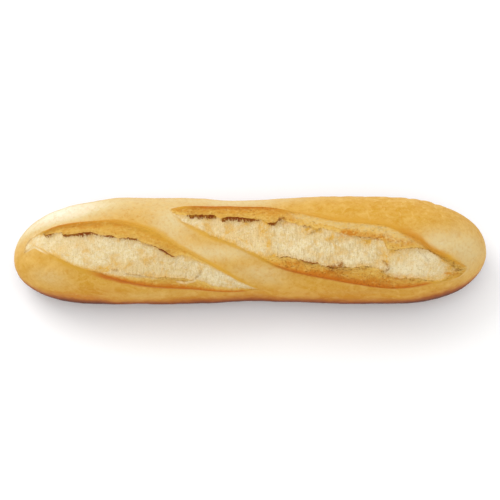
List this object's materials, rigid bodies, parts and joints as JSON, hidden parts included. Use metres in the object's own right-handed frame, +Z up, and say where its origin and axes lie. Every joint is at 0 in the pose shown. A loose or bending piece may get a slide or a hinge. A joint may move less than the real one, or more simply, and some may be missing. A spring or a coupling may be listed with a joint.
{
  "type": "demi-baguette",
  "caption": "Short crusty baguette with long slanting slashes torn open along its crown, lying on its flat base.",
  "frame": {"origin": "on the flat base, under the middle of the loaf's box", "axes": "+X along the loaf, towards the end where the slash that starts further back ends; +Y to the back of the loaf; +Z up out of the crown"},
  "size_m": [0.2788, 0.0648, 0.0489],
  "materials": {
    "crust": "baked bread crust, soft satin gold, with matt cream crumb showing in the slashes"
  },
  "bodies": {
    "root": {"baguette": "crust"}
  },
  "joints": []
}
